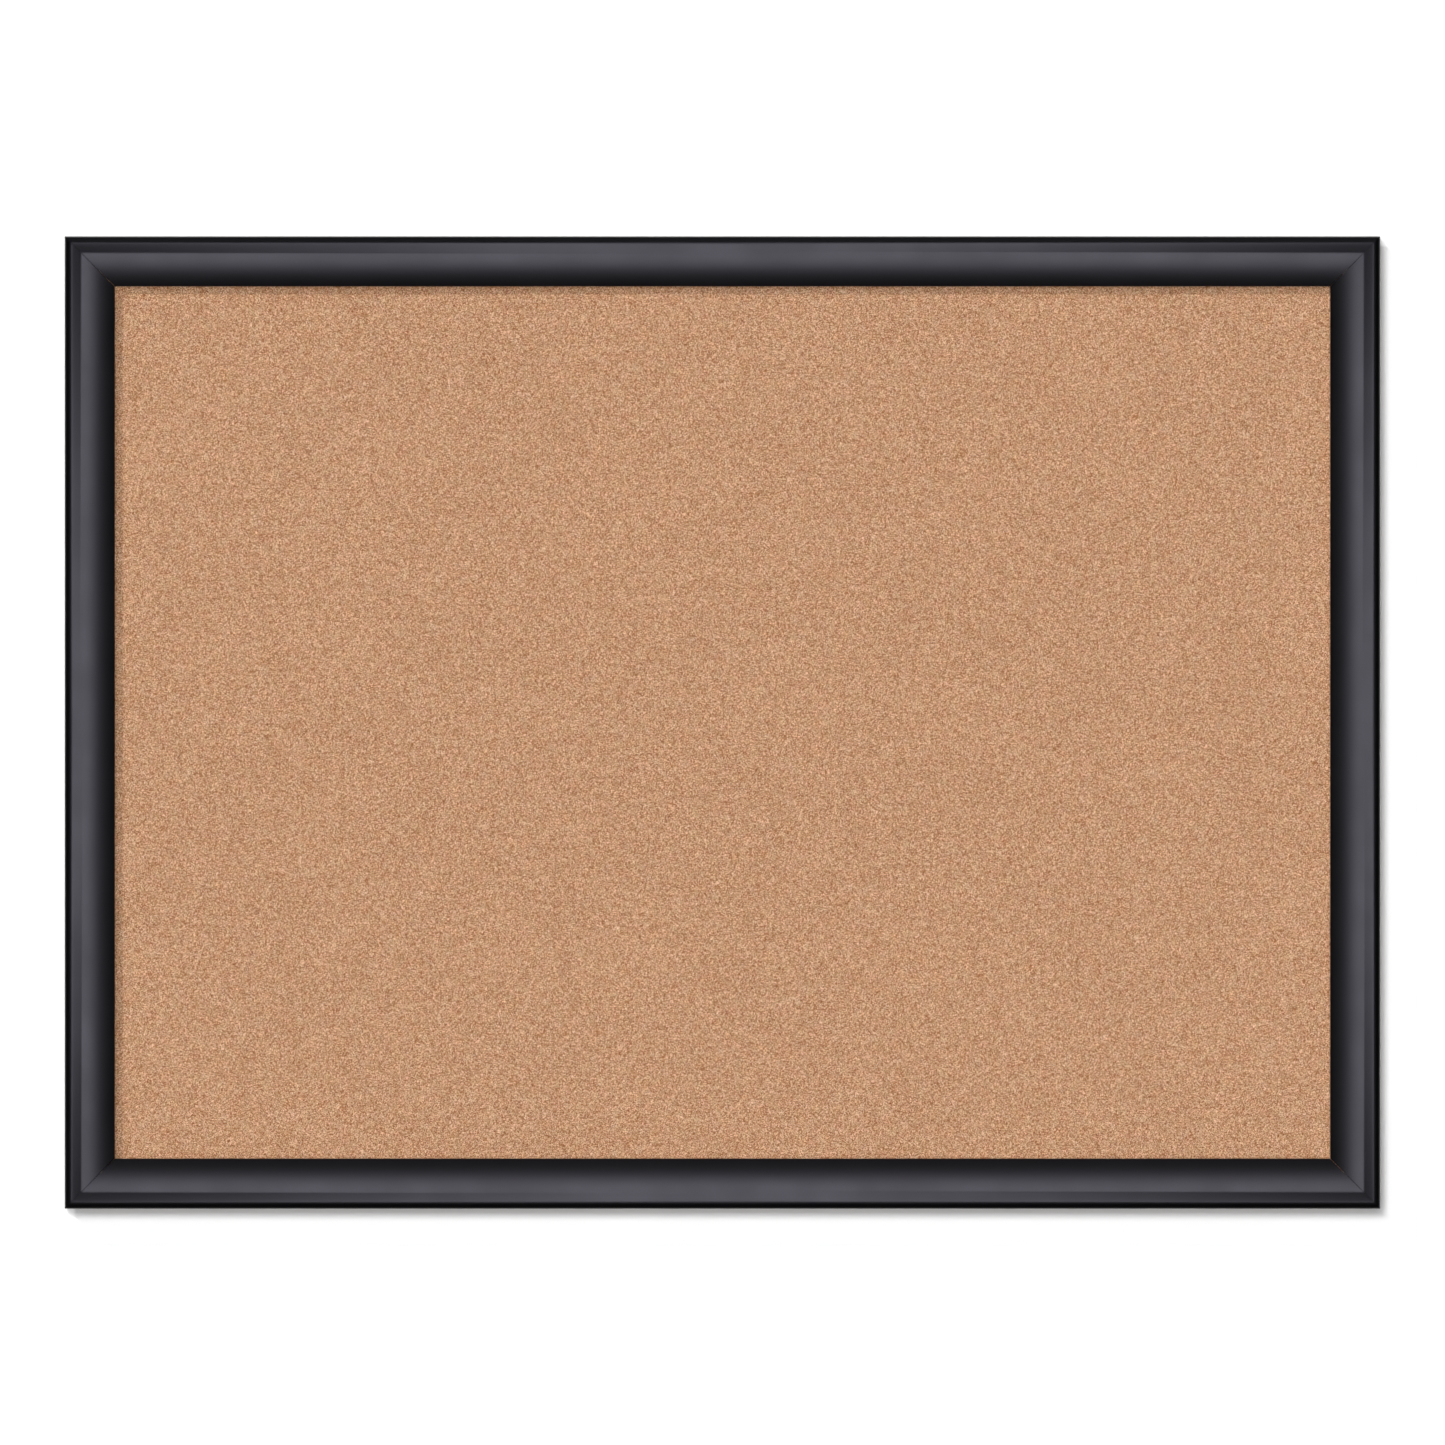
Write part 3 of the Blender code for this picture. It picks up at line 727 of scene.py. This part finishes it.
class BOARD_OT_moulding(bpy.types.Operator):
    """Makes the four mitred rails of the frame"""

    bl_idname = "board.moulding"
    bl_label = "Moulding"

    def execute(self, context):
        s = context.scene.board_moulding
        tree, finish = mitred_rail_tree(), black_lacquer(s)
        for turn, side in zip(CORNER_TURNS, SIDES):
            lying = side in ("top", "bottom")
            rail = grown(
                "moulding_" + side, wire_loop("section", rail_section(s)), tree, finish,
                Long_Side=2 * (HALF_WIDTH if lying else HALF_HEIGHT),
                Across=HALF_HEIGHT if lying else HALF_WIDTH,
                Turn=turn, Mitre_Gap=s.mitre_gap, Arris=s.arris,
            )
            finished(rail, "board", "black_lacquer", "rail_" + side)
        return {"FINISHED"}


def relief_sheet(name, box, cell, finish, facing, **sizes):
    """A closed sheet that fills a CAD box, with relief on its front (0) or its back (1)."""
    width, thickness, height = (high - low for low, high in zip(*box))
    return grown(
        name, bpy.data.meshes.new(name), relief_sheet_tree(), finish,
        Width=width, Height=height, Thickness=thickness,
        Columns=round(width / cell) + 1, Rows=round(height / cell) + 1,
        Tilt=(UPRIGHT, -UPRIGHT)[facing], Face_Y=box[facing].y, **sizes,
    )


class BOARD_OT_cork(bpy.types.Operator):
    """Makes the cork sheet with its uneven pressed face"""

    bl_idname = "board.cork"
    bl_label = "Cork"

    def execute(self, context):
        s = context.scene.board_cork
        sheet = relief_sheet("cork_sheet_face", CORK_BOX, s.cell, cork(s), 0,
                             Relief=s.relief, Pattern_Scale=320.0, Detail=3.0, Seed=3.7, Border=0.004)
        finished(sheet, "board", "cork", "cork_sheet")
        return {"FINISHED"}


class BOARD_OT_backing(bpy.types.Operator):
    """Makes the backing paper and finishes the fibreboard core"""

    bl_idname = "board.backing"
    bl_label = "Backing"

    def execute(self, context):
        s = context.scene.board_backing
        paper = relief_sheet("backing_paper_sheet", PAPER_BOX, s.cell, kraft_paper(s), 1,
                             Relief=s.wave, Pattern_Scale=14.0, Detail=2.0, Seed=8.2, Border=0.02)
        finished(paper, "board", "kraft_paper", "backing_paper")
        core = frame["nodes"]["fibreboard_core"]
        core.data.materials.clear()
        core.data.materials.append(fibreboard(s))
        return {"FINISHED"}


def nail_shape(s):
    """A corner nail for the top right corner: apex at the origin, arms towards the middle, driven towards -Y."""
    half, arm = s.nail_thickness / 2, s.nail_arm
    outline = [
        (half, half), (half, -arm), (-half, -arm), (-half, -half), (-arm, -half), (-arm, half),
    ]
    proud = 0.00006
    return softened(prism(outline, BACK_Y + proud, BACK_Y - s.nail_length), 0.00008)


class BOARD_OT_corner_nails(bpy.types.Operator):
    """Makes the eight V-shaped nails across the mitres"""

    bl_idname = "board.corner_nails"
    bl_label = "Corner Nails"

    def execute(self, context):
        s = context.scene.board_hardware
        runs = []
        for turn, (side_x, side_z) in zip(CORNER_TURNS, ((1, 1), (1, -1), (-1, -1), (-1, 1))):
            ends = [(side_x * (HALF_WIDTH - inset), 0.0, side_z * (HALF_HEIGHT - inset))
                    for inset in (s.nail_outer, s.nail_inner)]
            runs.append((*ends, 2, turn))
        nails = set_out("corner_nails", nail_shape(s), steel_finish(s), *runs)
        finished(nails, "board", "bright_steel",
                 *[f"corner_nail_{up}_{side}_{row}" for up in ("top", "bottom") for side in ("left", "right")
                   for row in ("outer", "inner")])
        return {"FINISHED"}


def steel_finish(s):
    """The zinc-plated steel, made once."""
    return bpy.data.materials.get("bright_steel") or plated_metal("bright_steel", s.steel, 0.36, 2400.0, 0.6)


def nickel_finish(s):
    """The nickel plating, made once."""
    return bpy.data.materials.get("nickel_plate") or plated_metal("nickel_plate", s.nickel, 0.24, 1800.0, 0.35)


def point_shape():
    """A flexible point for the top rail: its tip in the rail above, its blunt end over the panel below."""
    low, high = POINT_BOX
    tip, tail = high.z, low.z
    half = (high.x - low.x) / 2
    middle = (low.y + high.y) / 2
    reach, taper, trim = tip - tail, 0.0030, 0.0010
    tip_half, trim_slope = 0.0004, 0.98
    curl_height, curl_end = 0.0007, 0.0045
    rib_height, rib_half, rib_start, rib_fade = 0.00028, 0.38, 0.0025, 0.002
    rows, columns = 20, 8
    shape = bmesh.new()
    grid = []
    for i in range(rows + 1):
        z = tail + reach * i / rows
        wide = half
        if z > tip - taper:
            wide = tip_half + (half - tip_half) * (tip - z) / taper
        if z < tail + trim:
            wide = half - trim + (z - tail) * trim_slope
        curl = curl_height * max(0.0, 1.0 - (z - tail) / curl_end) ** 2
        inside = min(1.0, max(0.0, (z - tail - rib_start) / rib_fade))
        inside *= min(1.0, max(0.0, (tip - taper - z) / rib_fade))
        row = []
        for j in range(columns + 1):
            across = 2.0 * j / columns - 1.0
            rib = rib_height * inside * max(0.0, 1.0 - (across / rib_half) ** 2)
            row.append(shape.verts.new((across * wide, middle + curl + rib, z)))
        grid.append(row)
    skin(shape, grid)
    return thickened(baked("point", shape), high.y - low.y)


def thickened(mesh, thickness, edge=0.00007):
    """A sheet given a thickness about its middle, with softened edges."""
    obj = linked("sheet", mesh)
    wall = obj.modifiers.new("Solidify", "SOLIDIFY")
    wall.thickness = thickness
    wall.offset = 0.0
    wall.use_even_offset = True
    return softened(clean(taken(obj)), edge, angle=50.0)


class BOARD_OT_retaining_points(bpy.types.Operator):
    """Makes the flexible points that hold the panel in the rebate"""

    bl_idname = "board.retaining_points"
    bl_label = "Retaining Points"

    def execute(self, context):
        s = context.scene.board_hardware
        master = point_shape()
        home = Vector((0.0, 0.0, (POINT_BOX[0].z + POINT_BOX[1].z) / 2))
        runs, nodes = [], []
        for turn, side, count in zip(CORNER_TURNS, SIDES, (3, 2, 3, 2)):
            names = [f"retaining_point_{side}_{number}" for number in range(1, count + 1)]
            boxes = [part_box(name) for name in names]
            quarter = Matrix.Rotation(turn, 3, "Y")
            ends = []
            for box in (boxes[0], boxes[-1]):
                centre = (box[0] + box[1]) / 2
                shift = centre - quarter @ home
                ends.append((shift.x, 0.0, shift.z))
            runs.append((*ends, count, turn))
            nodes += names
        points = set_out("retaining_points", master, steel_finish(s), *runs)
        finished(points, "board", "bright_steel", *nodes)
        return {"FINISHED"}


def strap_shape(s):
    """The folded strap about its pivot: up the rail side, round the wire and down the wall side."""
    sheet = s.sheet
    eye = s.wire_radius + s.eye_clearance + sheet / 2
    rail_side, wall_side = -eye, -eye + sheet
    bottom, half = STRAP_BOX[0].z - PIVOT.z, s.strap_width / 2
    shoulder = bottom + half
    round_end = [shoulder - half * math.cos(0.5 * math.pi * i / 10) for i in range(11)]
    round_end[0] += 0.00004
    neck = Vector((wall_side, -s.neck))
    leave = math.atan2(neck.y, neck.x) + math.acos(eye / neck.length)
    path = [(rail_side, z) for z in round_end]
    path += [(rail_side, shoulder - shoulder * i / 6) for i in range(1, 6)]
    path += arc((0.0, 0.0), eye, math.pi, leave, 24)
    start = Vector(path[-1])
    path += [tuple(start.lerp(neck, part)) for part in (0.35, 0.7, 0.9)]
    path += [(wall_side, -s.neck - 0.0006)]
    path += [(wall_side, z) for z in [shoulder * 0.55, shoulder * 0.8] + round_end[::-1]]
    columns = 12
    shape = bmesh.new()
    rows = []
    for y, z in path:
        wide = half
        if z < shoulder:
            wide = math.sqrt(max(half**2 - (shoulder - z) ** 2, 0.0001**2))
        rows.append([shape.verts.new((wide * (2.0 * j / columns - 1.0), y, z)) for j in range(columns + 1)])
    skin(shape, rows)
    return thickened(baked("strap", shape), sheet - 0.00005, 0.00009)


def screw_shape(s):
    """A pan-head screw with a cross recess. Y is 0 under the head, which sits on the strap."""
    radius, height, rounding = s.head_radius, 0.0019, 0.0012
    sunk = 0.00026
    head = arc((radius - rounding, height - rounding), rounding, UPRIGHT, 0.0, 8)
    dome = [(0.0006, height + 0.00003), (0.0012, height + 0.00002)]
    profile = dome + head + [(radius, -sunk + 0.0001), (radius - 0.0001, -sunk), (0.00145, -sunk)]
    depth, pitch, turns, core, crest = 0.0100, 0.0014, 6, 0.00112, 0.00150
    for turn in range(turns):
        start = -sunk - 0.0012 - pitch * turn
        profile += [(core, start), (core, start - 0.45 * pitch), (crest, start - 0.7 * pitch),
                    (core, start - 0.95 * pitch)]
    profile += [(0.0010, -depth), (0.0003, -0.0125)]
    body = linked("screw", turned(profile, 40))
    long, short, deep, narrowing = 0.0017, 0.0004, 0.0011, 0.62
    quarter, outline = [(long, -short), (long, short), (short, short)], []
    for _ in range(4):
        outline += quarter
        quarter = [(-z, x) for x, z in quarter]
    cutter = linked("recess", prism(outline, height + 0.001, height - deep))
    for vertex in cutter.data.vertices:
        if vertex.co.y < height:
            vertex.co.x *= narrowing
            vertex.co.z *= narrowing
    cutter.hide_render = True
    cut = body.modifiers.new("Recess", "BOOLEAN")
    cut.object = cutter
    cut.operation = "DIFFERENCE"
    cut.solver = "EXACT"
    made = clean(taken(body))
    bpy.data.objects.remove(cutter)
    return made


def ring_path(s, pivot, lean):
    """The ring's centre line round its straight bar, legs and arch."""
    half = s.strap_width / 2 + s.side_clearance + s.wire_radius
    corner, straight = s.ring_corner, half - s.ring_corner
    flat = arc((straight, corner), corner, -UPRIGHT, 0.0, 10)
    flat += arc((0.0, s.ring_leg), half, 0.0, math.pi, 48)
    flat += arc((-straight, corner), corner, math.pi, 1.5 * math.pi, 10)
    turn = Matrix.Rotation(lean, 3, "X")
    return [pivot + turn @ Vector((x, 0.0, z)) for x, z in flat]


class BOARD_OT_hangers(bpy.types.Operator):
    """Makes the straps, rings and screws of the two hangers"""

    bl_idname = "board.hangers"
    bl_label = "Hangers"

    def execute(self, context):
        s = context.scene.board_hardware
        nickel = nickel_finish(s)
        left, right = PIVOTS["ring_left"], PIVOTS["ring_right"]
        straps = set_out("hanger_straps", strap_shape(s), nickel, (left, right, 2, 0.0))
        finished(straps, "board", "nickel_plate", "hanger_strap_left", "hanger_strap_right")
        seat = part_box("hanger_screw_right")[1].y - 0.0019
        ends = [(pivot.x, seat, pivot.z - s.screw_drop) for pivot in (left, right)]
        screws = set_out("hanger_screws", screw_shape(s), steel_finish(s), (*ends, 2, 0.0))
        finished(screws, "board", "bright_steel", "hanger_screw_left", "hanger_screw_right")
        reach = s.ring_leg + s.strap_width / 2 + s.side_clearance + s.wire_radius
        lean = math.asin((s.eye_clearance + s.sheet) / reach)
        wire = bent_wire_tree()
        for side, pivot in (("left", left), ("right", right)):
            base = wire_loop("ring", ring_path(s, pivot, lean))
            ring = grown("hanger_ring_" + side + "_wire", base, wire, nickel, Wire_Radius=s.wire_radius, Sides=24)
            finished(ring, "ring_" + side, "nickel_plate", "hanger_ring_" + side)
        return {"FINISHED"}


class BOARD_OT_bumpers(bpy.types.Operator):
    """Makes the four rubber bumpers"""

    bl_idname = "board.bumpers"
    bl_label = "Bumpers"

    def execute(self, context):
        s = context.scene.board_hardware
        low, high = BUMPER_BOX
        base = (high.x - low.x) / 2
        top, rounding = 0.88 * base, 0.0006
        profile = [(0.0006, -0.00022), (0.0009, -0.00020), (0.0012, -0.00004), (0.0016, 0.0)]
        profile += arc((top - rounding, -rounding), rounding, UPRIGHT, 0.1, 8)
        profile += [(base - 0.0002, low.y + 0.0005), (base, low.y + 0.0003), (base, low.y + 0.00002)]
        profile += [(base - 0.0004, low.y), (base - 0.0004, BACK_Y)]
        centre = (low + high) / 2
        runs = [((-centre.x, 0.0, z), (centre.x, 0.0, z), 2, 0.0) for z in (centre.z, -centre.z)]
        bumpers = set_out("rubber_bumpers", turned(profile, 44), black_rubber(s), *runs)
        finished(bumpers, "board", "black_rubber",
                 *[f"bumper_{up}_{side}" for up in ("top", "bottom") for side in ("left", "right")])
        return {"FINISHED"}


# ---- studio

def plane(name, *corners):
    """A flat piece of the backdrop, through four corners."""
    mesh = bpy.data.meshes.new(name)
    mesh.from_pydata(corners, [], [(0, 1, 2, 3)])
    return linked(name, mesh)


def seen_only(obj):
    """Shows the object to the camera and keeps it out of the lighting."""
    obj.visible_diffuse = obj.visible_glossy = obj.visible_transmission = obj.visible_shadow = False


def stage_finish(name, tint, glow, one_sided):
    """Plain paint with a little glow of its own. A one-sided plane can be looked through from behind."""
    finish = bpy.data.materials.new(name)
    finish.use_nodes = True
    w = Wiring(finish.node_tree)
    w.tree.nodes.clear()
    grain = w.spread(w.noise(w.put("ShaderNodeTexCoord").outputs["Object"], 30.0, 3.0), 0.3, 0.7, 0.99, 1.0)
    paint = w.put("ShaderNodeBsdfDiffuse", {"Color": w.grey(w.times(grain, tint))})
    shine = w.put("ShaderNodeEmission", {"Color": (0.94, 0.97, 1.0, 1.0), "Strength": glow})
    surface = w.put("ShaderNodeAddShader", {0: paint, 1: shine})
    if one_sided:
        behind = w.put("ShaderNodeNewGeometry").outputs["Backfacing"]
        surface = w.put("ShaderNodeMixShader", {0: behind, 1: surface, 2: w.put("ShaderNodeBsdfTransparent")})
    w.put("ShaderNodeOutputMaterial", {"Surface": surface})
    return finish


def sun(name, towards, strength, width, only=None):
    """A distant light, seen from the board in this direction and of this angular width."""
    lamp = bpy.data.lights.new(name, "SUN")
    lamp.energy = strength
    lamp.angle = width
    obj = linked(name, lamp)
    obj.rotation_mode = "QUATERNION"
    obj.rotation_quaternion = (-Vector(towards)).to_track_quat("-Z", "Y")
    if only:
        lit = bpy.data.collections.new(name + "_lit")
        for target in only:
            lit.objects.link(target)
        obj.light_linking.receiver_collection = lit
    return obj


def studio_world(s):
    """White to the camera. For the light: a softbox in front, a weak light overhead and a wide one behind."""
    world = bpy.data.worlds.new("studio")
    world.use_nodes = True
    bpy.context.scene.world = world
    w = Wiring(world.node_tree)
    w.tree.nodes.clear()
    axes = w.axes(w.put("ShaderNodeTexCoord").outputs["Generated"])
    forward = w.sums("MAXIMUM", w.times(axes["Y"], -1.0), 0.02)
    across = w.sums("DIVIDE", w.size(axes["X"]), forward)
    upward = w.sums("DIVIDE", w.size(axes["Z"]), forward)
    box = w.times(w.spread(across, 0.40, 0.12, kind="SMOOTHSTEP"),
                 w.spread(upward, 0.48, 0.18, kind="SMOOTHSTEP"))
    in_front = w.spread(axes["Y"], 0.02, -0.02)
    overhead = w.times(w.spread(axes["Z"], 0.85, 0.90, kind="SMOOTHSTEP"), in_front)
    overhead = w.times(overhead, w.spread(axes["Z"], 0.985, 0.95, kind="SMOOTHSTEP"))
    behind = w.spread(axes["Y"], 0.50, 0.85, kind="SMOOTHSTEP")
    slope = w.spread(axes["Z"], -0.35, 0.45, 0.34, 1.25)
    from_panel = w.size(w.minus(axes["X"], 0.40))
    panel = w.spread(from_panel, 0.06, 0.14, 0.35, 0.0, kind="SMOOTHSTEP")
    behind = w.times(behind, w.plus(slope, panel))
    glow = w.sums("MULTIPLY_ADD", box, s.front_strength, w.times(overhead, s.top_strength))
    everywhere, white = 0.004, (1.0, 1.0, 1.0, 1.0)
    glow = w.plus(glow, w.sums("MULTIPLY_ADD", behind, s.back_strength, everywhere))
    lit = w.put("ShaderNodeBackground", {"Color": white, "Strength": glow})
    plain = w.put("ShaderNodeBackground", {"Color": white, "Strength": 1.0})
    seen = w.put("ShaderNodeLightPath").outputs["Is Camera Ray"]
    w.put("ShaderNodeOutputWorld", {"Surface": w.put("ShaderNodeMixShader", {0: seen, 1: lit, 2: plain})})


class BOARD_OT_studio(bpy.types.Operator):
    """Makes the wall, floor, lights and camera"""

    bl_idname = "board.studio"
    bl_label = "Studio"

    def execute(self, context):
        s = context.scene.board_studio
        level = -s.floor_drop
        side, top, wall_y = 12.0, 6.0, 0.0006
        wall = plane("wall", (-side, wall_y, level), (side, wall_y, level), (side, wall_y, top),
                     (-side, wall_y, top))
        wall.data.materials.append(stage_finish("wall_paint", 0.70, 0.05, True))
        reach = 30.0
        floor = plane("floor", (-reach, -reach, level), (reach, -reach, level), (reach, reach, level),
                      (-reach, reach, level))
        floor.data.materials.append(stage_finish("floor_paint", 0.85, 0.62, False))
        for backdrop in (wall, floor):
            seen_only(backdrop)
        key = sun("key_light", (-0.845, -1.0, 0.845), s.key_strength, math.radians(1.0))
        key.visible_glossy = False
        sun("wall_light", (-0.135, -1.0, 0.19), s.wall_strength, 0.20, only=(wall, floor))
        studio_world(s)
        camera = bpy.data.cameras.new("camera")
        camera.lens = s.lens
        camera.sensor_width = 36.0
        away = s.view_width / 2 / (camera.sensor_width / 2 / camera.lens)
        camera.clip_end = 100.0
        viewer = linked("camera", camera)
        viewer.location = (0.0, FRONT_Y - away, 0.0)
        viewer.rotation_euler = (UPRIGHT, 0.0, 0.0)
        context.scene.camera = viewer
        context.scene.view_settings.view_transform = "Standard"
        context.scene.view_settings.look = "None"
        return {"FINISHED"}


# ---- sidebar

SETTINGS = {
    "board_moulding": BoardMouldingSettings,
    "board_cork": BoardCorkSettings,
    "board_backing": BoardBackingSettings,
    "board_hardware": BoardHardwareSettings,
    "board_studio": BoardStudioSettings,
}
OPERATORS = (
    BOARD_OT_moulding, BOARD_OT_cork, BOARD_OT_backing, BOARD_OT_corner_nails, BOARD_OT_retaining_points,
    BOARD_OT_hangers, BOARD_OT_bumpers, BOARD_OT_studio,
)


class BOARD_PT_sidebar(bpy.types.Panel):
    """Lists the board's pieces and settings"""

    bl_label = "Cork Bulletin Board"
    bl_idname = "BOARD_PT_sidebar"
    bl_space_type = "VIEW_3D"
    bl_region_type = "UI"
    bl_category = "Board"

    def draw(self, context):
        for operator in OPERATORS:
            self.layout.operator(operator.bl_idname)
        for name, group in SETTINGS.items():
            box = self.layout.box()
            for setting in group.__annotations__:
                box.prop(getattr(context.scene, name), setting)


def register():
    for group in SETTINGS.values():
        bpy.utils.register_class(group)
    for kind in (*OPERATORS, BOARD_PT_sidebar):
        bpy.utils.register_class(kind)
    for name, group in SETTINGS.items():
        setattr(bpy.types.Scene, name, bpy.props.PointerProperty(type=group))


def unregister():
    for name in SETTINGS:
        delattr(bpy.types.Scene, name)
    for kind in (BOARD_PT_sidebar, *reversed(OPERATORS)):
        bpy.utils.unregister_class(kind)
    for group in SETTINGS.values():
        bpy.utils.unregister_class(group)


def main():
    register()
    for operator in OPERATORS:
        getattr(bpy.ops.board, operator.bl_idname.split(".")[1])()


if __name__ == "__main__":
    main()
